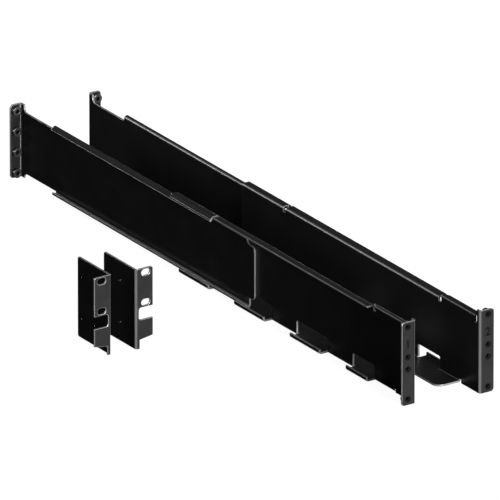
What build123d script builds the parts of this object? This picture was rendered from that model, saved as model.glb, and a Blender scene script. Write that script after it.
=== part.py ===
from build123d import *
import os

# Telescoping two-unit rack rails with two loose rack ears, in millimetres.
# X runs across the kit, Y from the front to the back and Z up.
# Distances called "outward" run from a rail's inner face towards its flanges.

# Sheet
sheet = 2.0
bend_mid = 2.0
bend_outer = bend_mid + sheet / 2
half_sheet = sheet / 2
slide_gap = 0.3
hook_gap = 0.2

# Front section of a rail
front_length = 420.0
front_flange_height = 88.0
flange_reach = 16.5
flange_corner = 3.5
web_top = 79.4
top_flange_reach = 9.4
top_relief_depth = 5.4
ledge_width = 26.0
ledge_start = 36.0
ledge_corner = 9.0
ledge_relief = 3.0
hook_reach = 11.0
hook_lip_height = 5.3
hook_slit = 0.75
window_height = 15.7
window_corner = 1.5
hook_spans = ((70.0, 108.0), (153.0, 207.0), (252.0, 306.0), (351.0, 405.0))

# Zones of the top edge of the front section, as distances behind its face
brow_start = 9.0
brow_end = 68.0
brow_top = 82.2
brow_reach = 6.2
brow_chamfer = 7.0
flat_start = 72.0
flat_end = 343.0
keeper_start = 347.0
keeper_drop = 2.4

# Rear section of a rail
extended_length = 702.5
rear_length = 424.0
rear_flange_height = 79.0
rear_flange_base = 0.7
lip_reach = hook_reach - sheet - hook_gap
lip_top = 6.0
crest_start = 350.0
crest_gap = 0.24
crest_end_reach = 10.0
tail_length = 65.5
tail_bottom = 6.1
tail_top = 71.8
flare_radius = 5.0
nose_top_setback = 14.0
nose_top = 69.0
nose_bottom_setback = 9.0
nose_bottom = 12.0
nose_radius = 5.0

# Holes and clinch nuts
rack_hole = 6.4
front_hole_reach = 9.5
rear_hole_reach = 10.4
front_hole_heights = (6.35, 38.1, 50.8, 82.55)
rear_hole_pitch = 22.225
nut_diameter = 10.0
nut_height = 4.0
nut_bore = 5.0
nut_shank = rack_hole - 0.1
nut_shank_length = 1.4

# Rack ears
ear_height = 85.0
ear_depth = 57.7
ear_reach = 20.0
ear_corner = 2.5
ear_slot_length = 10.0
ear_slot_height = 6.8
ear_slot_reach = 11.5
ear_slot_heights = (48.5, 80.25)
ear_notch_bottom = 30.7
ear_notch_top = 43.7
ear_notch_root = 3.6
ear_notch_radius = 3.0
ear_foot_width = 4.6
ear_foot_height = 9.6
ear_tongue_tip = 12.0
ear_screw_hole = 3.4
ear_screw_depths = (29.0, 52.0)
ear_screw_heights = (20.0, 64.0)

# Layout of the kit, as it stands in one picture
rail_spacing = 64.5
rail_stagger = 16.0
ear_one_offset = 180.0
ear_two_offset = 154.0
ear_one_setback = 267.0
ear_two_setback = 263.0

# Positions worked out from the sizes, with the kit centred on X and Y
half_width = (ear_one_offset + ear_reach + rail_spacing + flange_reach) / 2
left_x = ear_one_offset + ear_reach - half_width
right_x = left_x + rail_spacing
right_y = -(extended_length + rail_stagger) / 2
left_y = right_y + rail_stagger
mirror_x = (left_x + right_x) / 2
rear_inner = sheet + slide_gap
rear_mid = rear_inner + half_sheet
rear_start = extended_length - rear_length
rear_bottom = sheet + hook_gap
tail_start = extended_length - tail_length
rear_hole_heights = tuple(front_hole_heights[0] + rear_hole_pitch * step for step in range(4))
relief_bottom = web_top - top_relief_depth
crest_top = web_top - sheet - crest_gap
crest_line = rear_mid + bend_mid + crest_top - bend_outer + bend_mid * 2 ** 0.5
keeper_shoulder = top_flange_reach - 1.4

os.makedirs("parts", exist_ok=True)


def across(distance):
    # A plane across the right rail: local x points outward, local y up, and it faces the front.
    return Plane(origin=(right_x, right_y + distance, 0), x_dir=(1, 0, 0), z_dir=(0, -1, 0))


def beside(outward):
    # A plane along the right rail: local x points to the back, local y up, and it faces outward.
    return Plane(origin=(right_x + outward, right_y, 0), x_dir=(0, 1, 0), z_dir=(1, 0, 0))


def above(height):
    # A level plane at the right rail: local x points outward and local y to the back.
    return Plane(origin=(right_x, right_y, height), x_dir=(1, 0, 0), z_dir=(0, 0, 1))


with BuildPart() as right_front_rail:
    # Ledge and web, folded from one sheet
    with BuildSketch(across(front_length)):
        with BuildLine():
            FilletPolyline(
                (-ledge_width, half_sheet),
                (half_sheet, half_sheet),
                (half_sheet, relief_bottom),
                radius=bend_mid,
            )
        trace(line_width=sheet)
    extrude(amount=front_length - ledge_start)
    # Plain web in front of the ledge
    with BuildSketch(beside(0)):
        with Locations(((ledge_start + bend_outer) / 2, relief_bottom / 2)):
            Rectangle(ledge_start - bend_outer, relief_bottom)
    extrude(amount=sheet)
    # Front flange with its upright bend
    with BuildSketch(above(0)):
        with BuildLine():
            FilletPolyline(
                (flange_reach, half_sheet),
                (half_sheet, half_sheet),
                (half_sheet, 2 * bend_outer),
                radius=bend_mid,
            )
        trace(line_width=sheet)
    extrude(amount=front_flange_height)
    # Raised strip of the top edge behind the front flange
    with BuildSketch(across(brow_end)):
        with BuildLine():
            FilletPolyline(
                (half_sheet, relief_bottom - bend_outer),
                (half_sheet, brow_top - half_sheet),
                (brow_reach, brow_top - half_sheet),
                radius=bend_mid,
            )
        trace(line_width=sheet)
    extrude(amount=brow_end - brow_start)
    with BuildSketch(above(relief_bottom)):
        with BuildLine():
            Polyline(
                (brow_reach + 1, brow_end - brow_chamfer),
                (brow_reach, brow_end - brow_chamfer),
                (bend_outer, brow_end + 1),
                (brow_reach + 1, brow_end + 1),
                close=True,
            )
        make_face()
    extrude(amount=front_flange_height - relief_bottom, mode=Mode.SUBTRACT)
    # Flat top flange
    with BuildSketch(across(flat_end)):
        with BuildLine():
            FilletPolyline(
                (half_sheet, relief_bottom - bend_outer),
                (half_sheet, web_top - half_sheet),
                (top_flange_reach, web_top - half_sheet),
                radius=bend_mid,
            )
        trace(line_width=sheet)
    extrude(amount=flat_end - flat_start)
    # Keeper at the back: the top flange with its edge turned down at 45 degrees
    with BuildSketch(across(front_length)):
        with BuildLine():
            FilletPolyline(
                (half_sheet, relief_bottom - bend_outer),
                (half_sheet, web_top - half_sheet),
                (keeper_shoulder, web_top - half_sheet),
                (keeper_shoulder + keeper_drop, web_top - half_sheet - keeper_drop),
                radius=bend_mid,
            )
        trace(line_width=sheet)
    extrude(amount=front_length - keeper_start)
    # Windows over the hooks
    with BuildSketch(beside(-half_sheet)):
        for hook_start, hook_end in hook_spans:
            with Locations(((hook_start + hook_end) / 2, window_height / 2 - bend_outer / 2)):
                RectangleRounded(hook_end - hook_start, window_height + bend_outer, window_corner)
    extrude(amount=sheet + bend_outer, mode=Mode.SUBTRACT)
    # Hooks: tongues left in the plane of the ledge, with the tip turned up
    for hook_start, hook_end in hook_spans:
        with BuildSketch(across(hook_end - hook_slit)):
            with BuildLine():
                FilletPolyline(
                    (-bend_outer, half_sheet),
                    (hook_reach - half_sheet, half_sheet),
                    (hook_reach - half_sheet, hook_lip_height),
                    radius=bend_mid,
                )
            trace(line_width=sheet)
        extrude(amount=hook_end - hook_start - 2 * hook_slit)
    # Bend relief at the front end of the ledge
    with BuildSketch(beside(-bend_outer)):
        with Locations((ledge_start - ledge_relief / 2, 0)):
            Rectangle(ledge_relief, 2 * (bend_outer + half_sheet))
    extrude(amount=sheet + 2 * bend_outer, mode=Mode.SUBTRACT)
    # Rack holes in the front flange
    with BuildSketch(across(0)):
        with Locations(*[(front_hole_reach, height) for height in front_hole_heights]):
            Circle(rack_hole / 2)
    extrude(amount=-sheet, mode=Mode.SUBTRACT)
    # Rounded corners of the flange and the ledge
    fillet(right_front_rail.edges().filter_by(Axis.Y).group_by(Axis.X)[-1], radius=flange_corner)
    fillet(right_front_rail.edges().filter_by(Axis.Z).group_by(Axis.X)[0], radius=ledge_corner)


with BuildPart() as right_rear_rail:
    # Web outline, with the stepped nose and the flared tail
    with BuildSketch(beside(rear_inner)):
        with BuildLine():
            Polyline(
                (rear_start, nose_bottom),
                (rear_start, nose_top),
                (rear_start + nose_top_setback, nose_top),
                (rear_start + nose_top_setback, relief_bottom),
                (tail_start, relief_bottom),
                (tail_start, tail_top),
                (extended_length - bend_outer - flare_radius, tail_top),
                (extended_length - bend_outer - flare_radius, rear_flange_base + rear_flange_height),
                (extended_length - bend_outer, rear_flange_base + rear_flange_height),
                (extended_length - bend_outer, rear_flange_base),
                (extended_length - bend_outer - flare_radius, rear_flange_base),
                (extended_length - bend_outer - flare_radius, tail_bottom),
                (tail_start, tail_bottom),
                (tail_start, lip_top),
                (rear_start + nose_bottom_setback, lip_top),
                (rear_start + nose_bottom_setback, nose_bottom),
                close=True,
            )
        outline = make_face()
        corners = outline.vertices()
        nose_corners = corners.filter_by(lambda v: v.X < rear_start + 0.1 or abs(v.Y - nose_top) < 0.1)
        flare_x = extended_length - bend_outer - flare_radius
        flare_corners = corners.filter_by(lambda v: abs(v.X - flare_x) < 0.1 and 1 < v.Y < tail_top + 1)
        fillet(nose_corners + flare_corners, radius=nose_radius)
    extrude(amount=sheet)
    # Turned-up lip along the bottom
    with BuildSketch(across(tail_start)):
        with BuildLine():
            FilletPolyline(
                (lip_reach - half_sheet, lip_top),
                (lip_reach - half_sheet, rear_bottom + half_sheet),
                (rear_mid, rear_bottom + half_sheet),
                (rear_mid, nose_bottom + 1),
                radius=bend_mid,
            )
        trace(line_width=sheet)
    extrude(amount=tail_start - rear_start - nose_bottom_setback)
    # Crest along the top, folded over and down at 45 degrees to run inside the keeper
    with BuildSketch(across(tail_start)):
        with BuildLine():
            FilletPolyline(
                (rear_mid, nose_top + 1),
                (rear_mid, crest_line - rear_mid),
                (crest_end_reach - half_sheet * 0.5 ** 0.5, crest_line - crest_end_reach + half_sheet * 0.5 ** 0.5),
                radius=bend_mid,
            )
        trace(line_width=sheet)
    extrude(amount=tail_start - crest_start)
    # Rear flange with its upright bend
    with BuildSketch(above(rear_flange_base)):
        with BuildLine():
            FilletPolyline(
                (rear_mid, extended_length - bend_outer - 1),
                (rear_mid, extended_length - half_sheet),
                (flange_reach, extended_length - half_sheet),
                radius=bend_mid,
            )
        trace(line_width=sheet)
    extrude(amount=rear_flange_height)
    # Rack holes in the rear flange
    with BuildSketch(across(extended_length)):
        with Locations(*[(rear_hole_reach, height) for height in rear_hole_heights]):
            Circle(rack_hole / 2)
    extrude(amount=sheet, mode=Mode.SUBTRACT)
    fillet(right_rear_rail.edges().filter_by(Axis.Y).group_by(Axis.X)[-1], radius=flange_corner)


with BuildPart() as left_front_rail:
    with Locations((0, rail_stagger, 0)):
        add(mirror(right_front_rail.part, about=Plane.YZ.offset(mirror_x), mode=Mode.PRIVATE))

with BuildPart() as left_rear_rail:
    with Locations((0, rail_stagger, 0)):
        add(mirror(right_rear_rail.part, about=Plane.YZ.offset(mirror_x), mode=Mode.PRIVATE))


# Places of the two ears; the first one is the mirror image of the second, whose flange points to the right
ear_two_x = left_x - ear_two_offset
ear_two_y = left_y + ear_two_setback
ear_one_x = left_x - ear_one_offset
ear_one_y = left_y + ear_one_setback

with BuildPart() as rack_ear_two:
    with BuildSketch(Plane(origin=(ear_two_x, ear_two_y, 0), z_dir=(0, 0, 1))):
        with BuildLine():
            FilletPolyline(
                (half_sheet, ear_depth),
                (half_sheet, half_sheet),
                (ear_reach, half_sheet),
                radius=bend_mid,
            )
        trace(line_width=sheet)
    extrude(amount=ear_height)
    # Rack slots, the notch for a handle and the cut-away foot
    with BuildSketch(Plane(origin=(ear_two_x, ear_two_y, 0), x_dir=(1, 0, 0), z_dir=(0, -1, 0))):
        with Locations(*[(ear_slot_reach, height) for height in ear_slot_heights]):
            SlotOverall(ear_slot_length, ear_slot_height)
        with Locations((ear_reach + ear_notch_root / 2, (ear_notch_bottom + ear_notch_top) / 2)):
            RectangleRounded(
                2 * ear_reach - ear_notch_root, ear_notch_top - ear_notch_bottom, ear_notch_radius
            )
        with BuildLine():
            Polyline(
                (ear_foot_width, -1),
                (ear_foot_width, ear_foot_height),
                (ear_reach + 1, ear_tongue_tip),
                (ear_reach + 1, -1),
                close=True,
            )
        make_face()
    extrude(amount=-(sheet + 0.01), mode=Mode.SUBTRACT)
    # Screw holes in the web
    with BuildSketch(Plane(origin=(ear_two_x, ear_two_y, 0), x_dir=(0, 1, 0), z_dir=(1, 0, 0))):
        with Locations(*[(depth, height) for depth in ear_screw_depths for height in ear_screw_heights]):
            Circle(ear_screw_hole / 2)
    extrude(amount=sheet, mode=Mode.SUBTRACT)
    fillet(
        rack_ear_two.edges().filter_by(Axis.Y).group_by(Axis.X)[-1].group_by(Axis.Z)[-1],
        radius=ear_corner,
    )
    fillet(rack_ear_two.edges().filter_by(Axis.X).group_by(Axis.Y)[-1], radius=ear_corner)

with BuildPart() as rack_ear_one:
    with Locations((ear_one_x - ear_two_x, ear_one_y - ear_two_y, 0)):
        add(mirror(rack_ear_two.part, about=Plane.YZ.offset(ear_two_x), mode=Mode.PRIVATE))


def clinch_nut(x, y, height, facing):
    # A round clinch nut on a flange face at y, standing off it in the direction given by facing.
    with BuildPart() as nut:
        face = Plane(origin=(x, y, height), x_dir=(1, 0, 0), z_dir=(0, facing, 0))
        with BuildSketch(face):
            Circle(nut_diameter / 2)
        extrude(amount=nut_height)
        with BuildSketch(face):
            Circle(nut_shank / 2)
        extrude(amount=-nut_shank_length)
        with BuildSketch(face):
            Circle(nut_bore / 2)
        extrude(amount=nut_height, both=True, mode=Mode.SUBTRACT)
    return nut


pieces = {
    "left_front_rail": left_front_rail,
    "left_rear_rail": left_rear_rail,
    "right_front_rail": right_front_rail,
    "right_rear_rail": right_rear_rail,
    "rack_ear_one": rack_ear_one,
    "rack_ear_two": rack_ear_two,
}

# Four nuts behind each front flange and four in front of each rear flange
for side, rail_x, rail_y, outward in (("left", left_x, left_y, -1), ("right", right_x, right_y, 1)):
    for number, height in enumerate(front_hole_heights, start=1):
        nut_x = rail_x + outward * front_hole_reach
        pieces[f"{side}_front_nut_{number}"] = clinch_nut(nut_x, rail_y + sheet, height, 1)
    for number, height in enumerate(rear_hole_heights, start=1):
        nut_x = rail_x + outward * rear_hole_reach
        nut_y = rail_y + extended_length - sheet
        pieces[f"{side}_rear_nut_{number}"] = clinch_nut(nut_x, nut_y, height, -1)

for name, piece in pieces.items():
    piece.part.label = name
    export_step(piece.part, f"parts/{name}.step")
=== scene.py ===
import math

import bmesh
import bpy
from bpy.props import FloatProperty, FloatVectorProperty, IntProperty, PointerProperty
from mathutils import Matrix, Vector
from mathutils.bvhtree import BVHTree


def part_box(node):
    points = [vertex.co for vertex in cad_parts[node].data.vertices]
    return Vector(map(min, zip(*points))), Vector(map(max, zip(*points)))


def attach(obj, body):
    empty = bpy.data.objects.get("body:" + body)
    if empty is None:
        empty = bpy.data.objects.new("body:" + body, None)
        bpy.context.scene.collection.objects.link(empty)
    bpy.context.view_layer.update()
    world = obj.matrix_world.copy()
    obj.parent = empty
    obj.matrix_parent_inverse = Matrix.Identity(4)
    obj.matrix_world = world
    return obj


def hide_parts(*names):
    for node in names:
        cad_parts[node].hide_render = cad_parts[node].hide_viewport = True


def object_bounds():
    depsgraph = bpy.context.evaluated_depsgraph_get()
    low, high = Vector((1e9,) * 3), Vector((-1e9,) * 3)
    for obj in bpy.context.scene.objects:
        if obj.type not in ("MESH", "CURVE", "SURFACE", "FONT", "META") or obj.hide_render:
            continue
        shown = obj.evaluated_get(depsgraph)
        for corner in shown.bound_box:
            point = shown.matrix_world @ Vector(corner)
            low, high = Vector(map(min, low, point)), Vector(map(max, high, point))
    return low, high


bl_info = {
    "name": "Rack Rail Kit",
    "version": (1, 0, 0),
    "blender": (4, 5, 0),
    "location": "3D View > Sidebar > Rack Rails",
    "description": "Finishes a pair of telescoping rack rails, their clinch nuts and two rack ears",
    "category": "Object",
}

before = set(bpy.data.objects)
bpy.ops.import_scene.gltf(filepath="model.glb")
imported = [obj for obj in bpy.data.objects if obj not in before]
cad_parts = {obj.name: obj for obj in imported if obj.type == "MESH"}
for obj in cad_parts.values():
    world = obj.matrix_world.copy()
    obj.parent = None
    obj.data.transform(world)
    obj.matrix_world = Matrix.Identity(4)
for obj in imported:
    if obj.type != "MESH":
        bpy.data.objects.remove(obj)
cad_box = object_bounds()

MM = 0.001
FIXED_BODY = "fixed_pieces"
FRONT_SECTIONS = ("left_front_rail", "right_front_rail")
REAR_SECTIONS = {"left_rear_rail": "left_rear_section", "right_rear_rail": "right_rear_section"}
EARS = ("rack_ear_one", "rack_ear_two")
NUTS_EACH_END = 4

# Vertices closer together than this are merged, and so are facets that turn by less than this
WELD_DISTANCE = 0.001 * MM
FLAT_ANGLE = math.radians(0.5)

# Material slots of a sheet: its coat, its cut edges in a thin coat lightened as a painted highlight, and its
# small holes, which are coated too
COATED, CUT, HOLE = 0, 1, 2

# The sheet's other broad face is looked for from just inside the first one. Its distance may be off by
# a share of the thickness, and its normal has to follow the ray this well.
RAY_START = 0.01
PARTNER_TOLERANCE = 0.1
PARTNER_FACING = 0.95

# A facet whose normal reaches this along an axis is flat, not part of a bend
SQUARE = 0.998

# The painted highlight on a bend starts and is full where its normal reaches these values along X
HIGHLIGHT_START = 0.4
HIGHLIGHT_FULL = 0.8

# Share of the painted highlight that is left beside a flat facet, so that the flat itself stays dark
HIGHLIGHT_BESIDE_FLAT = 0.3

# A rear flange's tight bend, which gets a painted highlight line, lies this far from the rear end, in facets
# slanted at least this much
REAR_BEND = 5 * MM
BEND_SLANT = 0.2

# The noise of the grain mostly stays between these values, and spreads the roughness this far
NOISE_LOW, NOISE_HIGH = 0.3, 0.7
GLOSS_SPREAD = 0.05

# Share of a font's size that its digits are high, and the steps in each of their curves
DIGIT_SHARE = 0.7
DIGIT_STEPS = 4

# Facets round a nut, across the rounding of its rims and in each turn of its thread
RING_STEPS = 40
RIM_STEPS = 3
TURN_STEPS = 28

# Rounding of the shank's rims, as a share of the nut's
SHANK_ROUNDING = 0.3

# The thread is a coil with a diamond for its section, partly sunk in the wall of the bore. These are how far
# the middle of the diamond stands off the wall and how far its corners lie from it, as shares of the pitch.
THREAD_STAND = 0.15
THREAD_HALF_WIDTH = 0.48
THREAD_CORNERS = 4

# Faces that lie no further from a nut's axis than this share of the bore's radius belong to the bore
BORE_REACH = 1.03

LIGHTS = {
    "front_light": ((-0.02, -1.0, 0.1), 10.0, (2.25, 1.75), 1.78),
    "back_left_light": ((-0.5, 0.8, 0.2), 4.0, (0.7, 0.8), 0.12),
    "overhead_light": ((0.1, -0.1, 1.0), 4.0, (3.0, 3.0), 0.17),
    "back_light": ((0.15, 1.0, 0.06), 4.0, (1.6, 0.5), 0.5),
    "right_light": ((0.85, 0.5, 0.06), 4.0, (1.4, 0.6), 0.45),
}

FLOOR_FOR_KIT, FLOOR_FOR_CAMERA = 0.02, 0.3
FLOOR_GLOW = 0.93
SURROUNDINGS_FOR_KIT, SURROUNDINGS_FOR_CAMERA = 0.03, 1.0
WHITE = (1.0, 1.0, 1.0, 1.0)

FLOOR_GAP = 0.02 * MM

# Width of the camera's sensor in millimetres
SENSOR_WIDTH = 36.0

# The camera sees from this many metres away to this many times its distance from the target
NEAREST = 1.0
FURTHEST = 3


# Settings that a user would change

class RackKitSheetSettings(bpy.types.PropertyGroup):
    """How the folded sheets are finished."""

    thickness: FloatProperty(
        name="Sheet Thickness", description="Distance between the two broad faces of a sheet",
        default=0.002, min=0.0005, max=0.005, subtype="DISTANCE", unit="LENGTH")
    small_hole: FloatProperty(
        name="Small Hole", description="Holes narrower than this are coated through and through",
        default=0.008, min=0.0, max=0.02, subtype="DISTANCE", unit="LENGTH")
    hole_round: FloatProperty(
        name="Small Hole Rounding", description="Rounding of small holes' rims, as a share of the others",
        default=0.45, min=0.0, max=1.0, subtype="FACTOR")
    edge_round: FloatProperty(
        name="Edge Rounding", description="Width of the rounding that the coat gives each cut edge",
        default=0.00042, min=0.00005, max=0.0008, subtype="DISTANCE", unit="LENGTH")
    edge_segments: IntProperty(
        name="Edge Segments", description="Number of facets across each rounded edge",
        default=3, min=1, max=4)
    bend_facet: FloatProperty(
        name="Bend Facet", description="Coated facets narrower than this belong to a rounded bend",
        default=0.0014, min=0.0005, max=0.002, subtype="DISTANCE", unit="LENGTH")
    strip_start: FloatProperty(
        name="Strip Start", description="Distance from the front flange's face to the raised strip",
        default=0.0085, min=0.006, max=0.02, subtype="DISTANCE", unit="LENGTH")
    strip_end: FloatProperty(
        name="Strip End", description="Distance from the front flange's face to the raised strip's end",
        default=0.0685, min=0.03, max=0.1, subtype="DISTANCE", unit="LENGTH")
    strip_level: FloatProperty(
        name="Strip Level", description="Height above which the web belongs to the raised strip",
        default=0.073, min=0.05, max=0.08, subtype="DISTANCE", unit="LENGTH")
    # Share of the painted bend highlight that the raised strip's bend keeps
    strip_rub: FloatProperty(
        name="Strip Highlight", description="Rub on the raised strip's bend, as a share of that on other bends",
        default=0.3, min=0.0, max=1.0, subtype="FACTOR")
    sharp_angle: FloatProperty(
        name="Sharp Angle", description="Edges that turn by more than this are rounded",
        default=math.radians(32), min=math.radians(20), max=math.radians(80),
        subtype="ANGLE", unit="ROTATION")
    numeral_height: FloatProperty(
        name="Numeral Height", description="Height of the plain numeral pressed into each front flange",
        default=0.0085, min=0.004, max=0.012, subtype="DISTANCE", unit="LENGTH")
    numeral_level: FloatProperty(
        name="Numeral Level", description="Height of the numeral's middle above the bottom of the flange",
        default=0.0645, min=0.055, max=0.072, subtype="DISTANCE", unit="LENGTH")
    numeral_weight: FloatProperty(
        name="Numeral Weight", description="How much each stroke is thickened, on either side",
        default=0.0003, min=0.0, max=0.0005, subtype="DISTANCE", unit="LENGTH")
    numeral_depth: FloatProperty(
        name="Numeral Depth", description="How deep the numeral is pressed into the flange",
        default=0.0005, min=0.0001, max=0.001, subtype="DISTANCE", unit="LENGTH")


class RackKitNutSettings(bpy.types.PropertyGroup):
    """Sizes of the clinch nuts behind the rack holes."""

    outer_radius: FloatProperty(
        name="Outer Radius", description="Radius of the round body of a nut",
        default=0.005, min=0.003, max=0.006, subtype="DISTANCE", unit="LENGTH")
    height: FloatProperty(
        name="Height", description="How far the body of a nut stands off the flange",
        default=0.004, min=0.001, max=0.005, subtype="DISTANCE", unit="LENGTH")
    shank_radius: FloatProperty(
        name="Shank Radius", description="Radius of the shank inside the hole of the flange",
        default=0.00315, min=0.0025, max=0.004, subtype="DISTANCE", unit="LENGTH")
    shank_length: FloatProperty(
        name="Shank Length", description="Length of the shank inside the hole of the flange",
        default=0.0014, min=0.0005, max=0.002, subtype="DISTANCE", unit="LENGTH")
    bore_radius: FloatProperty(
        name="Bore Radius", description="Radius of the bore at the roots of the thread",
        default=0.0021, min=0.0018, max=0.003, subtype="DISTANCE", unit="LENGTH")
    rounding: FloatProperty(
        name="Rounding", description="Radius of the rounded rims of a nut",
        default=0.0005, min=0.0001, max=0.0008, subtype="DISTANCE", unit="LENGTH")
    thread_pitch: FloatProperty(
        name="Thread Pitch", description="Distance from one turn of the thread to the next",
        default=0.0008, min=0.0005, max=0.0012, subtype="DISTANCE", unit="LENGTH")


class RackKitFinishSettings(bpy.types.PropertyGroup):
    """Colours and gloss of the finishes."""

    coat_colour: FloatVectorProperty(
        name="Coat Colour", description="Colour of the black powder coat on the broad faces",
        default=(0.0165, 0.0165, 0.017), min=0.0, max=1.0, subtype="COLOR", size=3)
    coat_roughness: FloatProperty(
        name="Coat Roughness", description="Roughness of the powder coat between its grains",
        default=0.34, min=0.0, max=1.0, subtype="FACTOR")
    # Colour, roughness and metallic of the painted highlight along the bends
    bend_colour: FloatVectorProperty(
        name="Bend Highlight Colour", description="Colour where the coat is rubbed bright, along the bends",
        default=(0.36, 0.36, 0.365), min=0.0, max=1.0, subtype="COLOR", size=3)
    bend_roughness: FloatProperty(
        name="Bend Roughness", description="Roughness where the coat is rubbed bright, along the bends",
        default=0.32, min=0.0, max=1.0, subtype="FACTOR")
    bend_metallic: FloatProperty(
        name="Bend Metallic", description="How much bare steel shows where the coat is rubbed bright",
        default=0.5, min=0.0, max=1.0, subtype="FACTOR")
    # Cut edges and roundings: a thin coat, lightened further as a painted highlight
    edge_colour: FloatVectorProperty(
        name="Edge Coat And Highlight Colour", description="Colour where the coat is thin, on cut edges and roundings",
        default=(0.44, 0.44, 0.445), min=0.0, max=1.0, subtype="COLOR", size=3)
    nut_colour: FloatVectorProperty(
        name="Nut Colour", description="Colour of the black zinc plate on the nuts",
        default=(0.11, 0.11, 0.114), min=0.0, max=1.0, subtype="COLOR", size=3)
    # Painted shade for the bore, thread and shank of each nut
    thread_colour: FloatVectorProperty(
        name="Bore Shade Colour", description="Colour of the oiled thread inside the nuts",
        default=(0.006, 0.006, 0.006), min=0.0, max=1.0, subtype="COLOR", size=3)
    # Painted shade at the bottom of the pressed numerals
    numeral_colour: FloatVectorProperty(
        name="Numeral Shade Colour", description="Colour at the bottom of the pressed numerals",
        default=(0.003, 0.003, 0.003), min=0.0, max=1.0, subtype="COLOR", size=3)
    grain_size: FloatProperty(
        name="Grain Size", description="Distance between the grains of the powder coat",
        default=0.0006, min=0.0002, max=0.003, subtype="DISTANCE", unit="LENGTH")


class RackKitStudioSettings(bpy.types.PropertyGroup):
    """Camera and floor."""

    azimuth: FloatProperty(
        name="Azimuth", description="Direction of the camera round the kit, 0 looking along +Y",
        default=math.radians(-33.5525), subtype="ANGLE", unit="ROTATION")
    elevation: FloatProperty(
        name="Elevation", description="Angle of the camera above the horizon",
        default=math.radians(22.511), subtype="ANGLE", unit="ROTATION")
    target: FloatVectorProperty(
        name="Target", description="Point in the middle of the picture",
        default=(0.08179, -0.01681, 0.044), subtype="TRANSLATION", unit="LENGTH", size=3)
    distance: FloatProperty(
        name="Distance", description="Distance of the camera from its target",
        default=22.611, min=1.0, max=60.0, subtype="DISTANCE", unit="LENGTH")
    lens: FloatProperty(
        name="Focal Length", description="Focal length in millimetres, long for little perspective",
        default=1650.0, min=50.0, max=5000.0)
    floor_size: FloatProperty(
        name="Floor Size", description="Side of the square floor",
        default=24.0, min=2.0, max=60.0, subtype="DISTANCE", unit="LENGTH")


# Node helpers

def feed(tree, socket, value):
    """Links a socket to another one, or gives it a plain value."""
    if isinstance(value, bpy.types.NodeSocket):
        tree.links.new(value, socket)
    else:
        socket.default_value = value


def math_node(tree, operation, *values):
    """The result of one operation on sockets and numbers."""
    node = tree.nodes.new("ShaderNodeMath")
    node.operation = operation
    for socket, value in zip(node.inputs, values):
        feed(tree, socket, value)
    return node.outputs["Value"]


def mixed(tree, kind, mask, first, second):
    """The mix of two colours or two numbers by a mask."""
    node = tree.nodes.new("ShaderNodeMix")
    node.data_type = kind
    feed(tree, node.inputs["Factor"], mask)
    feed(tree, node.inputs["A"], first)
    feed(tree, node.inputs["B"], second)
    return node.outputs["Result"]


# Shader node groups and materials

def new_group(name, inputs, outputs):
    """An empty shader node group with named sockets, its inputs given as (name, kind, default)."""
    group = bpy.data.node_groups.new(name, "ShaderNodeTree")
    for label, kind, default in inputs:
        socket = group.interface.new_socket(label, in_out="INPUT", socket_type=kind)
        socket.default_value = default
    for label, kind in outputs:
        group.interface.new_socket(label, in_out="OUTPUT", socket_type=kind)
    source = group.nodes.new("NodeGroupInput")
    sink = group.nodes.new("NodeGroupOutput")
    return group, source, sink


def grain_group():
    """Fine pebbled surface of a powder coat as a normal, and a broad slow variation of its gloss."""
    group, source, sink = new_group(
        "powder_grain",
        [("Grain Density", "NodeSocketFloat", 1600.0), ("Relief", "NodeSocketFloat", 0.3),
         ("Grain Height", "NodeSocketFloat", 0.00004)],
        [("Normal", "NodeSocketVector"), ("Variation", "NodeSocketFloat")])
    nodes, links = group.nodes, group.links
    place = nodes.new("ShaderNodeTexCoord")
    fine = nodes.new("ShaderNodeTexNoise")
    fine.inputs["Detail"].default_value = 2.0
    fine.inputs["Roughness"].default_value = 0.45
    broad = nodes.new("ShaderNodeTexNoise")
    broad.inputs["Scale"].default_value = 38.0
    broad.inputs["Detail"].default_value = 3.0
    bump = nodes.new("ShaderNodeBump")
    links.new(place.outputs["Object"], fine.inputs["Vector"])
    links.new(place.outputs["Object"], broad.inputs["Vector"])
    links.new(source.outputs["Grain Density"], fine.inputs["Scale"])
    links.new(source.outputs["Relief"], bump.inputs["Strength"])
    links.new(source.outputs["Grain Height"], bump.inputs["Distance"])
    links.new(fine.outputs["Fac"], bump.inputs["Height"])
    links.new(bump.outputs["Normal"], sink.inputs["Normal"])
    links.new(broad.outputs["Fac"], sink.inputs["Variation"])
    return group


def handling_group():
    """Scattered faint marks from handling and stacking, longer along the rails, as a mask from 0 to 1."""
    group, source, sink = new_group(
        "handling_marks",
        [("Mark Density", "NodeSocketFloat", 60.0), ("Amount", "NodeSocketFloat", 0.5)],
        [("Mask", "NodeSocketFloat")])
    nodes, links = group.nodes, group.links
    place = nodes.new("ShaderNodeTexCoord")
    stretch = nodes.new("ShaderNodeMapping")
    stretch.inputs["Scale"].default_value = (1.0, 0.22, 1.0)
    noise = nodes.new("ShaderNodeTexNoise")
    noise.inputs["Detail"].default_value = 5.0
    noise.inputs["Roughness"].default_value = 0.7
    spread = nodes.new("ShaderNodeMapRange")
    spread.inputs["From Min"].default_value = 0.55
    spread.inputs["From Max"].default_value = 0.72
    links.new(place.outputs["Object"], stretch.inputs["Vector"])
    links.new(stretch.outputs["Vector"], noise.inputs["Vector"])
    links.new(source.outputs["Mark Density"], noise.inputs["Scale"])
    links.new(noise.outputs["Fac"], spread.inputs["Value"])
    amount = math_node(group, "MULTIPLY", spread.outputs["Result"], source.outputs["Amount"])
    links.new(amount, sink.inputs["Mask"])
    return group


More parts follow.
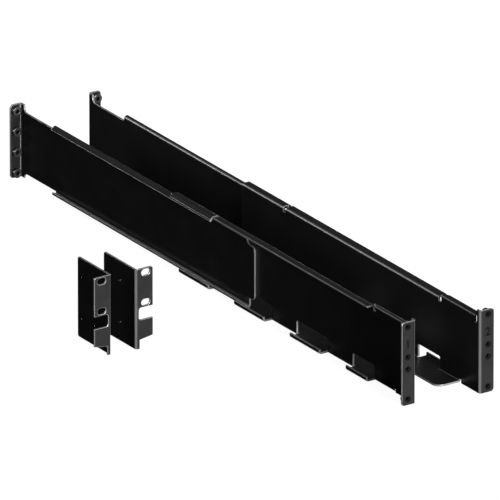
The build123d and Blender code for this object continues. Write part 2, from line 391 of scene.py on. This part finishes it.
def bend_group():
    """Mask from 0 to 1 for the painted highlight along the bends, uneven along their length."""
    group, source, sink = new_group(
        "painted_bend_highlight",
        [("Amount", "NodeSocketFloat", 1.0), ("Unevenness", "NodeSocketFloat", 0.35)],
        [("Mask", "NodeSocketFloat")])
    nodes, links = group.nodes, group.links
    bend = nodes.new("ShaderNodeAttribute")
    bend.attribute_name = "bend"
    place = nodes.new("ShaderNodeTexCoord")
    noise = nodes.new("ShaderNodeTexNoise")
    noise.inputs["Scale"].default_value = 90.0
    noise.inputs["Detail"].default_value = 4.0
    links.new(place.outputs["Object"], noise.inputs["Vector"])
    lost = math_node(group, "MULTIPLY", noise.outputs["Fac"], source.outputs["Unevenness"])
    kept = math_node(group, "SUBTRACT", 1.0, lost)
    faded = math_node(group, "MULTIPLY", bend.outputs["Fac"], kept)
    amount = math_node(group, "MULTIPLY", faded, source.outputs["Amount"])
    amount.node.use_clamp = True
    links.new(amount, sink.inputs["Mask"])
    return group


def placed_group(tree, name, make):
    """A node that holds a shared group, which is made the first time that it is used."""
    node = tree.nodes.new("ShaderNodeGroup")
    node.node_tree = bpy.data.node_groups.get(name) or make()
    return node


def coated_material(name, colour, lighter, roughness, specular, relief, marks, metallic=0.0):
    """Powder coat or plate: fine grain in the normal, faint marks in the colour, slow changes in the gloss.

    A mark has the colour times the number lighter, and marks says how strong the marks are.
    """
    if name in bpy.data.materials:
        return bpy.data.materials[name]
    material = bpy.data.materials.new(name)
    material.use_nodes = True
    tree = material.node_tree
    shader = tree.nodes["Principled BSDF"]
    shader.inputs["Specular IOR Level"].default_value = specular
    shader.inputs["Metallic"].default_value = metallic
    grain = placed_group(tree, "powder_grain", grain_group)
    grain.inputs["Grain Density"].default_value = 1.0 / bpy.context.scene.rack_kit_finish.grain_size
    grain.inputs["Relief"].default_value = relief
    worn = placed_group(tree, "handling_marks", handling_group)
    worn.inputs["Amount"].default_value = marks
    light_colour = [min(1.0, channel * lighter) for channel in colour]
    tone = mixed(tree, "RGBA", worn.outputs["Mask"], (*colour, 1.0), (*light_colour, 1.0))
    gloss = tree.nodes.new("ShaderNodeMapRange")
    gloss.inputs["From Min"].default_value = NOISE_LOW
    gloss.inputs["From Max"].default_value = NOISE_HIGH
    gloss.inputs["To Min"].default_value = roughness - GLOSS_SPREAD
    gloss.inputs["To Max"].default_value = roughness + GLOSS_SPREAD
    tree.links.new(tone, shader.inputs["Base Color"])
    tree.links.new(grain.outputs["Variation"], gloss.inputs["Value"])
    tree.links.new(gloss.outputs["Result"], shader.inputs["Roughness"])
    tree.links.new(grain.outputs["Normal"], shader.inputs["Normal"])
    return material


def coat_material():
    """The powder coat, with a painted highlight along the bends, where it is lighter, smoother and partly
    metallic.
    """
    name = "black_powder_coat"
    if name in bpy.data.materials:
        return bpy.data.materials[name]
    finish = bpy.context.scene.rack_kit_finish
    material = coated_material(
        name, finish.coat_colour,
        lighter=1.6, roughness=finish.coat_roughness, specular=0.5, relief=0.2, marks=0.5)
    tree = material.node_tree
    inputs = tree.nodes["Principled BSDF"].inputs
    mask = placed_group(tree, "painted_bend_highlight", bend_group).outputs["Mask"]
    colour_before = inputs["Base Color"].links[0].from_socket
    gloss_before = inputs["Roughness"].links[0].from_socket
    highlight_colour = (*finish.bend_colour, 1.0)
    # Painted highlight along the bends, mixed in by the bend mask
    tree.links.new(mixed(tree, "RGBA", mask, colour_before, highlight_colour), inputs["Base Color"])
    tree.links.new(mixed(tree, "FLOAT", mask, gloss_before, finish.bend_roughness), inputs["Roughness"])
    tree.links.new(mixed(tree, "FLOAT", mask, 0.0, finish.bend_metallic), inputs["Metallic"])
    return material


def edge_material():
    """Cut edges and roundings, where the coat is thin and steel shows through, lightened further as a
    painted highlight.
    """
    return coated_material(
        "thin_coat_and_highlight_edge", bpy.context.scene.rack_kit_finish.edge_colour,
        lighter=1.4, roughness=0.34, specular=0.5, relief=0.1, marks=0.8, metallic=0.55)


def nut_material():
    """Black zinc plate on the nuts."""
    return coated_material(
        "black_zinc_plate", bpy.context.scene.rack_kit_finish.nut_colour,
        lighter=1.8, roughness=0.32, specular=0.5, relief=0.1, marks=0.6, metallic=0.75)


def thread_material():
    """Painted shade on the bore and thread of the nuts, with their shanks: a near black, dull finish."""
    return coated_material(
        "bore_painted_shade", bpy.context.scene.rack_kit_finish.thread_colour,
        lighter=2.0, roughness=0.7, specular=0.08, relief=0.1, marks=0.4)


def numeral_material():
    """Walls and bottom of the pressed numerals, painted near black as shade in the recess."""
    return coated_material(
        "pressed_numeral", bpy.context.scene.rack_kit_finish.numeral_colour,
        lighter=1.6, roughness=0.7, specular=0.1, relief=0.3, marks=0.4)


# Mesh helpers

def nut_names(rail):
    """The CAD nodes of the four nuts in a rail's flange."""
    return [rail.replace("rail", f"nut_{number}") for number in range(1, NUTS_EACH_END + 1)]


def new_object(name, data):
    """An object in the scene for some data."""
    thing = bpy.data.objects.new(name, data)
    bpy.context.scene.collection.objects.link(thing)
    return thing


def evaluated_mesh(thing):
    """A plain mesh of an object as it is with its modifiers."""
    depsgraph = bpy.context.evaluated_depsgraph_get()
    return bpy.data.meshes.new_from_object(thing.evaluated_get(depsgraph))


def settle(piece):
    """Turns a piece's modifiers into plain mesh."""
    finished = evaluated_mesh(piece)
    piece.modifiers.clear()
    old = piece.data
    piece.data = finished
    finished.name = piece.name
    bpy.data.meshes.remove(old)


def corners(points):
    """The low and the high corner of the box around some points."""
    return [[pick(point[axis] for point in points) for axis in range(3)] for pick in (min, max)]


def is_broad(tree, face, thickness):
    """True for a face with the sheet's other broad face right behind it."""
    inward = -face.normal
    start = face.calc_center_median() + inward * RAY_START * thickness
    _, normal, _, distance = tree.ray_cast(start, inward, 2 * thickness)
    if normal is None or normal.dot(inward) <= PARTNER_FACING:
        return False
    return abs(distance - (1 - RAY_START) * thickness) < PARTNER_TOLERANCE * thickness


def small_hole_faces(shape, widest):
    """The cut faces of holes no wider than a given size."""
    small = []
    left = {face for face in shape.faces if face.material_index == CUT}
    while left:
        island = {left.pop()}
        fresh = list(island)
        while fresh:
            near = {face for edge in fresh.pop().edges for face in edge.link_faces} & left
            left -= near
            island |= near
            fresh.extend(near)
        low, high = corners([vert.co for face in island for vert in face.verts])
        if max(end - start for start, end in zip(low, high)) < widest:
            small.extend(island)
    return small


def weigh_edges(shape, settings):
    """Gives each edge the share of the full rounding that it gets."""
    weight = shape.edges.layers.float.new("bevel_weight_edge")
    for edge in shape.edges:
        edge[weight] = 1.0 if edge.calc_face_angle(0.0) > settings.sharp_angle else 0.0
    for rim in {edge for face in small_hole_faces(shape, settings.small_hole) for edge in face.edges}:
        rim[weight] *= settings.hole_round


def sheet_copy(node, name):
    """A merged copy of a CAD sheet with rounded edges, which tells its broad faces from its cut edges."""
    settings = bpy.context.scene.rack_kit_sheet
    shape = bmesh.new()
    shape.from_mesh(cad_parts[node].data)
    bmesh.ops.remove_doubles(shape, verts=shape.verts, dist=WELD_DISTANCE)
    shape.normal_update()
    tree = BVHTree.FromBMesh(shape)
    for face in shape.faces:
        face.material_index = COATED if is_broad(tree, face, settings.thickness) else CUT
        face.smooth = True
    bmesh.ops.dissolve_limit(
        shape, angle_limit=FLAT_ANGLE, verts=shape.verts, edges=shape.edges, delimit={"MATERIAL"})
    weigh_edges(shape, settings)
    mesh = bpy.data.meshes.new(name)
    shape.to_mesh(mesh)
    shape.free()
    for material in (coat_material(), edge_material(), coat_material()):
        mesh.materials.append(material)
    piece = new_object(name, mesh)
    bevel = piece.modifiers.new("rounded_edges", "BEVEL")
    bevel.width = settings.edge_round
    bevel.segments = settings.edge_segments
    bevel.limit_method = "WEIGHT"
    bevel.use_clamp_overlap = False
    # The roundings take the cut edges' material, with its painted highlight
    bevel.material = CUT
    settle(piece)
    return piece


def even_shading(piece):
    """Keeps flat faces evenly shaded up to their roundings."""
    piece.data.set_sharp_from_angle(angle=bpy.context.scene.rack_kit_sheet.sharp_angle)
    weighted = piece.modifiers.new("even_shading", "WEIGHTED_NORMAL")
    weighted.mode = "FACE_AREA"
    weighted.weight = 100
    weighted.keep_sharp = True
    settle(piece)


def inside_bends(shape, widest):
    """The vertices whose coated facets all belong to a bend."""
    bent = {face for face in shape.faces
            if face.material_index == COATED and max(abs(axis) for axis in face.normal) < SQUARE
            and face.calc_area() < widest * max(edge.calc_length() for edge in face.edges)}
    inside = set()
    for vert in shape.verts:
        coated = [face for face in vert.link_faces if face.material_index == COATED]
        if coated and all(face in bent for face in coated):
            inside.add(vert)
    return inside


def mark_bends(piece, widest):
    """Gives the vertices on the web's side of a coated bend a value up to 1, which the material reads as a
    painted highlight.
    """
    shape = bmesh.new()
    shape.from_mesh(piece.data)
    inside = inside_bends(shape, widest)
    values = []
    for vert in shape.verts:
        value = 0.0
        if vert in inside:
            around = [edge.other_vert(vert) for edge in vert.link_edges
                      if any(face.material_index == COATED for face in edge.link_faces)]
            value = min(1.0, max(0.0, (abs(vert.normal.x) - HIGHLIGHT_START) / (HIGHLIGHT_FULL - HIGHLIGHT_START)))
            if any(other not in inside for other in around):
                value *= HIGHLIGHT_BESIDE_FLAT
        values.append(value)
    shape.free()
    piece.data.attributes.new("bend", "FLOAT", "POINT").data.foreach_set("value", values)


def coat_small_holes(piece, widest):
    """Gives the walls and rims of small holes the finish of the coat, not of a cut edge."""
    shape = bmesh.new()
    shape.from_mesh(piece.data)
    for face in small_hole_faces(shape, widest):
        face.material_index = HOLE
    shape.to_mesh(piece.data)
    shape.free()


def rub_rear_bend(piece, node):
    """Gives the tight bend of a rear flange the material of the cut edges, as a painted highlight line."""
    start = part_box(node)[1].y - REAR_BEND
    for face in piece.data.polygons:
        slant = min(abs(face.normal.x), abs(face.normal.y))
        if face.material_index == COATED and face.center.y > start and slant > BEND_SLANT:
            face.material_index = CUT


def spare_strip(piece, node, settings):
    """Weakens the painted highlight on the raised strip's bend, and gives the strip's cut front end the coat
    in place of the cut edges' painted highlight.
    """
    face_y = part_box(node)[0].y
    highlight_values = piece.data.attributes["bend"].data
    for vert in piece.data.vertices:
        behind = vert.co.y - face_y
        if settings.strip_start < behind < settings.strip_end and vert.co.z > settings.strip_level:
            highlight_values[vert.index].value *= settings.strip_rub
    for face in piece.data.polygons:
        behind = face.center.y - face_y
        at_end = settings.strip_start < behind < settings.strip_start + settings.thickness / 2
        if at_end and face.material_index == CUT and face.center.z > settings.strip_level:
            face.material_index = HOLE


def hand_over_sheet(piece, node, body):
    """Finishes a sheet's surfaces and puts it in the place of its CAD node."""
    settings = bpy.context.scene.rack_kit_sheet
    coat_small_holes(piece, settings.small_hole)
    if node in REAR_SECTIONS:
        rub_rear_bend(piece, node)
    even_shading(piece)
    mark_bends(piece, settings.bend_facet)
    if node in FRONT_SECTIONS:
        spare_strip(piece, node, settings)
    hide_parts(node)
    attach(piece, body)


def numeral_mesh(numeral, settings):
    """A plain numeral, thickened and standing out of its plane to both sides."""
    font = bpy.data.curves.new("numeral", "FONT")
    font.body = numeral
    font.align_x = "CENTER"
    font.align_y = "CENTER"
    font.size = settings.numeral_height / DIGIT_SHARE
    font.extrude = settings.numeral_depth
    font.offset = settings.numeral_weight
    font.resolution_u = DIGIT_STEPS
    writing = new_object("numeral", font)
    mesh = evaluated_mesh(writing)
    bpy.data.objects.remove(writing)
    return mesh


def press_numeral(piece, numeral, flange_node, settings):
    """Cuts a plain numeral into the front face of a flange, centred on its rack holes."""
    flange_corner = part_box(flange_node)[0]
    nut_low, nut_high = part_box(flange_node.replace("rail", "nut_1"))
    middle_x = (nut_low.x + nut_high.x) / 2
    level = flange_corner.z + settings.numeral_level
    mesh = numeral_mesh(numeral, settings)
    shape = bmesh.new()
    shape.from_mesh(mesh)
    bmesh.ops.remove_doubles(shape, verts=shape.verts, dist=WELD_DISTANCE)
    low, high = corners([vert.co for vert in shape.verts])
    middle = Vector([(start + end) / 2 for start, end in zip(low, high)])
    for vert in shape.verts:
        flat = vert.co - middle
        vert.co = Vector((middle_x + flat.x, flange_corner.y - flat.z, level + flat.y))
    bmesh.ops.recalc_face_normals(shape, faces=shape.faces)
    shape.to_mesh(mesh)
    shape.free()
    mesh.materials.clear()
    mesh.materials.append(numeral_material())
    cutter = new_object("numeral_cutter", mesh)
    cut = piece.modifiers.new("pressed_numeral", "BOOLEAN")
    cut.operation = "DIFFERENCE"
    cut.solver = "EXACT"
    cut.material_mode = "TRANSFER"
    cut.object = cutter
    settle(piece)
    bpy.data.objects.remove(cutter)


# Geometry nodes for the clinch nuts. In the tree a nut's axis is Z, and its flange lies below 0.

def lifted(tree, geometry, height):
    """A geometry moved along the nut's axis."""
    lift = tree.nodes.new("ShaderNodeCombineXYZ")
    feed(tree, lift.inputs["Z"], height)
    move = tree.nodes.new("GeometryNodeTransform")
    tree.links.new(geometry, move.inputs["Geometry"])
    tree.links.new(lift.outputs["Vector"], move.inputs["Translation"])
    return move.outputs["Geometry"]


def ring(tree, inner, outer, length, middle, rounding):
    """A ring about the nut's axis with a rounded section."""
    nodes, links = tree.nodes, tree.links
    path = nodes.new("GeometryNodeCurvePrimitiveCircle")
    path.inputs["Resolution"].default_value = RING_STEPS
    across = math_node(tree, "ADD", inner, outer)
    links.new(math_node(tree, "MULTIPLY", across, 0.5), path.inputs["Radius"])
    section = nodes.new("GeometryNodeCurvePrimitiveQuadrilateral")
    links.new(math_node(tree, "SUBTRACT", outer, inner), section.inputs["Width"])
    links.new(length, section.inputs["Height"])
    rounded = nodes.new("GeometryNodeFilletCurve")
    rounded.mode = "POLY"
    rounded.inputs["Count"].default_value = RIM_STEPS
    rounded.inputs["Limit Radius"].default_value = True
    links.new(section.outputs["Curve"], rounded.inputs["Curve"])
    links.new(rounding, rounded.inputs["Radius"])
    sweep = nodes.new("GeometryNodeCurveToMesh")
    links.new(path.outputs["Curve"], sweep.inputs["Curve"])
    links.new(rounded.outputs["Curve"], sweep.inputs["Profile Curve"])
    return lifted(tree, sweep.outputs["Mesh"], middle)


def thread_coil(tree, bore_radius, pitch, height, shank_length):
    """The thread: a coil along the bore that stops half a turn before each end."""
    nodes, links = tree.nodes, tree.links
    depth = math_node(tree, "ADD", height, shank_length)
    length = math_node(tree, "SUBTRACT", depth, pitch)
    stand = math_node(tree, "MULTIPLY", pitch, THREAD_STAND)
    radius = math_node(tree, "SUBTRACT", bore_radius, stand)
    coil = nodes.new("GeometryNodeCurveSpiral")
    coil.inputs["Resolution"].default_value = TURN_STEPS
    links.new(math_node(tree, "DIVIDE", length, pitch), coil.inputs["Rotations"])
    links.new(radius, coil.inputs["Start Radius"])
    links.new(radius, coil.inputs["End Radius"])
    links.new(length, coil.inputs["Height"])
    diamond = nodes.new("GeometryNodeCurvePrimitiveCircle")
    diamond.inputs["Resolution"].default_value = THREAD_CORNERS
    links.new(math_node(tree, "MULTIPLY", pitch, THREAD_HALF_WIDTH), diamond.inputs["Radius"])
    thread = nodes.new("GeometryNodeCurveToMesh")
    thread.inputs["Fill Caps"].default_value = True
    links.new(coil.outputs["Curve"], thread.inputs["Curve"])
    links.new(diamond.outputs["Curve"], thread.inputs["Profile Curve"])
    half_turn = math_node(tree, "MULTIPLY", pitch, 0.5)
    return lifted(tree, thread.outputs["Mesh"], math_node(tree, "SUBTRACT", half_turn, shank_length))


def marked_bore(tree, geometry, bore_radius):
    """The nut with the faces of its bore, thread and shank marked, for their painted shade."""
    nodes, links = tree.nodes, tree.links
    position = nodes.new("GeometryNodeInputPosition")
    parts = nodes.new("ShaderNodeSeparateXYZ")
    links.new(position.outputs["Position"], parts.inputs["Vector"])
    squares = [math_node(tree, "POWER", parts.outputs[axis], 2.0) for axis in ("X", "Y")]
    from_axis = math_node(tree, "POWER", math_node(tree, "ADD", *squares), 0.5)
    reach = math_node(tree, "MULTIPLY", bore_radius, BORE_REACH)
    in_bore = math_node(tree, "LESS_THAN", from_axis, reach)
    in_shank = math_node(tree, "LESS_THAN", parts.outputs["Z"], 0.0)
    marked = nodes.new("GeometryNodeStoreNamedAttribute")
    marked.data_type = "BOOLEAN"
    marked.domain = "FACE"
    marked.inputs["Name"].default_value = "threaded"
    links.new(geometry, marked.inputs["Geometry"])
    links.new(math_node(tree, "MAXIMUM", in_bore, in_shank), marked.inputs["Value"])
    return marked.outputs["Geometry"]


def named_attribute(tree, name, kind):
    """The values of an attribute of the geometry."""
    node = tree.nodes.new("GeometryNodeInputNamedAttribute")
    node.data_type = kind
    node.inputs["Name"].default_value = name
    return node.outputs["Attribute"]


def set_on_points(tree, points, nut):
    """A nut on each point, turned to face the way that the point says."""
    nodes, links = tree.nodes, tree.links
    turn = nodes.new("ShaderNodeCombineXYZ")
    facing = named_attribute(tree, "facing", "FLOAT")
    links.new(math_node(tree, "MULTIPLY", facing, -math.pi / 2), turn.inputs["X"])
    rotation = nodes.new("FunctionNodeEulerToRotation")
    links.new(turn.outputs["Vector"], rotation.inputs["Euler"])
    place = nodes.new("GeometryNodeInstanceOnPoints")
    links.new(points, place.inputs["Points"])
    links.new(nut, place.inputs["Instance"])
    links.new(rotation.outputs["Rotation"], place.inputs["Rotation"])
    real = nodes.new("GeometryNodeRealizeInstances")
    links.new(place.outputs["Instances"], real.inputs["Geometry"])
    return real.outputs["Geometry"]


def nut_tree():
    """Node tree that sets a threaded clinch nut on every point of a mesh."""
    tree = bpy.data.node_groups.new("clinch_nuts", "GeometryNodeTree")
    face = tree.interface
    face.new_socket("Geometry", in_out="INPUT", socket_type="NodeSocketGeometry")
    for label in ("Outer Radius", "Height", "Shank Radius", "Shank Length", "Bore Radius", "Rounding",
                  "Thread Pitch"):
        face.new_socket(label, in_out="INPUT", socket_type="NodeSocketFloat")
    for label in ("Finish", "Bore Shade Finish"):
        face.new_socket(label, in_out="INPUT", socket_type="NodeSocketMaterial")
    face.new_socket("Geometry", in_out="OUTPUT", socket_type="NodeSocketGeometry")
    nodes, links = tree.nodes, tree.links
    read = nodes.new("NodeGroupInput").outputs
    sink = nodes.new("NodeGroupOutput")
    body = ring(tree, read["Bore Radius"], read["Outer Radius"], read["Height"],
                math_node(tree, "MULTIPLY", read["Height"], 0.5), read["Rounding"])
    shank = ring(tree, read["Bore Radius"], read["Shank Radius"], read["Shank Length"],
                 math_node(tree, "MULTIPLY", read["Shank Length"], -0.5),
                 math_node(tree, "MULTIPLY", read["Rounding"], SHANK_ROUNDING))
    thread = thread_coil(
        tree, read["Bore Radius"], read["Thread Pitch"], read["Height"], read["Shank Length"])
    joined = nodes.new("GeometryNodeJoinGeometry")
    for part in (body, shank, thread):
        links.new(part, joined.inputs["Geometry"])
    nut = marked_bore(tree, joined.outputs["Geometry"], read["Bore Radius"])
    nuts = set_on_points(tree, read["Geometry"], nut)
    finish = nodes.new("GeometryNodeSetMaterial")
    links.new(nuts, finish.inputs["Geometry"])
    links.new(read["Finish"], finish.inputs["Material"])
    # Painted shade on the bore, thread and shank
    bore_shade_finish = nodes.new("GeometryNodeSetMaterial")
    links.new(finish.outputs["Geometry"], bore_shade_finish.inputs["Geometry"])
    links.new(named_attribute(tree, "threaded", "BOOLEAN"), bore_shade_finish.inputs["Selection"])
    links.new(read["Bore Shade Finish"], bore_shade_finish.inputs["Material"])
    links.new(bore_shade_finish.outputs["Geometry"], sink.inputs["Geometry"])
    return tree


def nut_row(name, nodes, facing, body):
    """Threaded nuts in the places of the given CAD nuts, which all stand off in one direction along Y."""
    settings = bpy.context.scene.rack_kit_nuts
    points = []
    for node in nodes:
        low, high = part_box(node)
        seat = high.y - settings.height if facing > 0 else low.y + settings.height
        points.append(((low.x + high.x) / 2, seat, (low.z + high.z) / 2))
    mesh = bpy.data.meshes.new(name)
    mesh.from_pydata(points, [], [])
    turned = mesh.attributes.new("facing", "FLOAT", "POINT")
    turned.data.foreach_set("value", [float(facing)] * len(points))
    piece = new_object(name, mesh)
    tree = bpy.data.node_groups.get("clinch_nuts") or nut_tree()
    modifier = piece.modifiers.new("clinch_nuts", "NODES")
    modifier.node_group = tree
    values = {
        "Outer Radius": settings.outer_radius, "Height": settings.height,
        "Shank Radius": settings.shank_radius, "Shank Length": settings.shank_length,
        "Bore Radius": settings.bore_radius, "Rounding": settings.rounding,
        "Thread Pitch": settings.thread_pitch, "Finish": nut_material(),
        "Bore Shade Finish": thread_material(),
    }
    for item in tree.interface.items_tree:
        if item.in_out == "INPUT" and item.name in values:
            modifier[item.identifier] = values[item.name]
    settle(piece)
    shape = bmesh.new()
    shape.from_mesh(piece.data)
    bmesh.ops.recalc_face_normals(shape, faces=shape.faces)
    shape.to_mesh(piece.data)
    shape.free()
    piece.data.shade_smooth()
    even_shading(piece)
    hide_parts(*nodes)
    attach(piece, body)


# Stage

def area_light(name, direction, distance, size, level, aim):
    """The level is how bright it makes a white surface that faces it squarely, 1 being white.
    """
    data = bpy.data.lights.new(name, "AREA")
    data.shape = "RECTANGLE"
    data.size, data.size_y = size
    data.energy = level * (math.pi * distance) ** 2
    light = new_object(name, data)
    outwards = Vector(direction).normalized()
    light.location = aim + outwards * distance
    light.rotation_euler = outwards.to_track_quat("Z", "Y").to_euler()


def floor_material():
    material = bpy.data.materials.new("pale_floor")
    material.use_nodes = True
    tree = material.node_tree
    shader = tree.nodes["Principled BSDF"]
    shader.inputs["Roughness"].default_value = 0.9
    shader.inputs["Specular IOR Level"].default_value = 0.0
    shader.inputs["Emission Color"].default_value = WHITE
    seen = tree.nodes.new("ShaderNodeLightPath").outputs["Is Camera Ray"]
    for_kit, for_camera = [(grey, grey, grey, 1.0) for grey in (FLOOR_FOR_KIT, FLOOR_FOR_CAMERA)]
    tree.links.new(mixed(tree, "RGBA", seen, for_kit, for_camera), shader.inputs["Base Color"])
    tree.links.new(math_node(tree, "MULTIPLY", seen, FLOOR_GLOW), shader.inputs["Emission Strength"])
    return material


def lay_floor(size):
    low, high = cad_box
    middle = (low + high) / 2
    half = size / 2
    mesh = bpy.data.meshes.new("floor")
    points = [(middle.x + side * half, middle.y + end * half, low.z - FLOOR_GAP)
              for side, end in ((-1, -1), (1, -1), (1, 1), (-1, 1))]
    mesh.from_pydata(points, [], [(0, 1, 2, 3)])
    mesh.materials.append(floor_material())
    floor = new_object("floor", mesh)


def set_surroundings(scene):
    """White where the camera looks past the floor, dim elsewhere."""
    world = bpy.data.worlds.new("studio_surroundings")
    world.use_nodes = True
    nodes, links = world.node_tree.nodes, world.node_tree.links
    background = nodes["Background"]
    path = nodes.new("ShaderNodeLightPath")
    strength = nodes.new("ShaderNodeMapRange")
    strength.inputs["To Min"].default_value = SURROUNDINGS_FOR_KIT
    strength.inputs["To Max"].default_value = SURROUNDINGS_FOR_CAMERA
    background.inputs["Color"].default_value = WHITE
    links.new(path.outputs["Is Camera Ray"], strength.inputs["Value"])
    links.new(strength.outputs["Result"], background.inputs["Strength"])
    scene.world = world
    scene.view_settings.view_transform = "Standard"


def set_camera(scene, studio):
    """The camera at the photograph's viewing angle."""
    data = bpy.data.cameras.new("camera")
    data.lens = studio.lens
    data.sensor_width = SENSOR_WIDTH
    camera = new_object("camera", data)
    away = Vector((
        math.sin(studio.azimuth) * math.cos(studio.elevation),
        -math.cos(studio.azimuth) * math.cos(studio.elevation),
        math.sin(studio.elevation)))
    camera.location = Vector(studio.target) + away * studio.distance
    camera.rotation_euler = away.to_track_quat("Z", "Y").to_euler()
    data.clip_start = NEAREST
    data.clip_end = FURTHEST * studio.distance
    scene.camera = camera


# Operators

class RACKKIT_OT_front_sections(bpy.types.Operator):
    """Finish the two front sections, with a plain numeral pressed into each front flange"""

    bl_idname = "rackkit.front_sections"
    bl_label = "Front Sections"

    def execute(self, context):
        for number, node in enumerate(FRONT_SECTIONS, start=1):
            piece = sheet_copy(node, f"{node}_coated")
            press_numeral(piece, str(number), node, context.scene.rack_kit_sheet)
            hand_over_sheet(piece, node, FIXED_BODY)
        return {"FINISHED"}


class RACKKIT_OT_rear_sections(bpy.types.Operator):
    """Finish the two rear sections, which slide in the front ones"""

    bl_idname = "rackkit.rear_sections"
    bl_label = "Rear Sections"

    def execute(self, context):
        for node, body in REAR_SECTIONS.items():
            hand_over_sheet(sheet_copy(node, f"{node}_coated"), node, body)
        return {"FINISHED"}


class RACKKIT_OT_rack_ears(bpy.types.Operator):
    """Finish the two loose rack ears"""

    bl_idname = "rackkit.rack_ears"
    bl_label = "Rack Ears"

    def execute(self, context):
        for node in EARS:
            hand_over_sheet(sheet_copy(node, f"{node}_coated"), node, FIXED_BODY)
        return {"FINISHED"}


class RACKKIT_OT_clinch_nuts(bpy.types.Operator):
    """Make the threaded clinch nuts behind the rack holes of all four flanges"""

    bl_idname = "rackkit.clinch_nuts"
    bl_label = "Clinch Nuts"

    def execute(self, context):
        front = [nut for node in FRONT_SECTIONS for nut in nut_names(node)]
        nut_row("front_clinch_nuts", front, 1, FIXED_BODY)
        for node, body in REAR_SECTIONS.items():
            nut_row(node.replace("rail", "clinch_nuts"), nut_names(node), -1, body)
        return {"FINISHED"}


class RACKKIT_OT_studio(bpy.types.Operator):
    """Set up the pale floor, the soft lights and the camera"""

    bl_idname = "rackkit.studio"
    bl_label = "Studio"

    def execute(self, context):
        studio = context.scene.rack_kit_studio
        low, high = cad_box
        middle = (low + high) / 2
        lay_floor(studio.floor_size)
        for name, (direction, distance, size, level) in LIGHTS.items():
            area_light(name, direction, distance, size, level, middle)
        set_surroundings(context.scene)
        set_camera(context.scene, studio)
        return {"FINISHED"}


class RACKKIT_PT_kit(bpy.types.Panel):
    bl_idname = "RACKKIT_PT_kit"
    bl_label = "Rack Rail Kit"
    bl_space_type = "VIEW_3D"
    bl_region_type = "UI"
    bl_category = "Rack Rails"

    def draw(self, context):
        layout = self.layout
        for operator in OPERATORS:
            layout.operator(operator.bl_idname)
        for group in SETTINGS:
            box = layout.box()
            owner = getattr(context.scene, group)
            for name in owner.bl_rna.properties.keys():
                if name not in ("rna_type", "name"):
                    box.prop(owner, name)


SETTINGS = {
    "rack_kit_sheet": RackKitSheetSettings,
    "rack_kit_nuts": RackKitNutSettings,
    "rack_kit_finish": RackKitFinishSettings,
    "rack_kit_studio": RackKitStudioSettings,
}
OPERATORS = (
    RACKKIT_OT_front_sections,
    RACKKIT_OT_rear_sections,
    RACKKIT_OT_rack_ears,
    RACKKIT_OT_clinch_nuts,
    RACKKIT_OT_studio,
)
CLASSES = (*SETTINGS.values(), *OPERATORS, RACKKIT_PT_kit)


def register():
    for cls in CLASSES:
        bpy.utils.register_class(cls)
    for name, group in SETTINGS.items():
        setattr(bpy.types.Scene, name, PointerProperty(type=group))


def unregister():
    for name in SETTINGS:
        delattr(bpy.types.Scene, name)
    for cls in reversed(CLASSES):
        bpy.utils.unregister_class(cls)


def main():
    register()
    bpy.ops.rackkit.front_sections()
    bpy.ops.rackkit.rear_sections()
    bpy.ops.rackkit.rack_ears()
    bpy.ops.rackkit.clinch_nuts()
    bpy.ops.rackkit.studio()


if __name__ == "__main__":
    main()
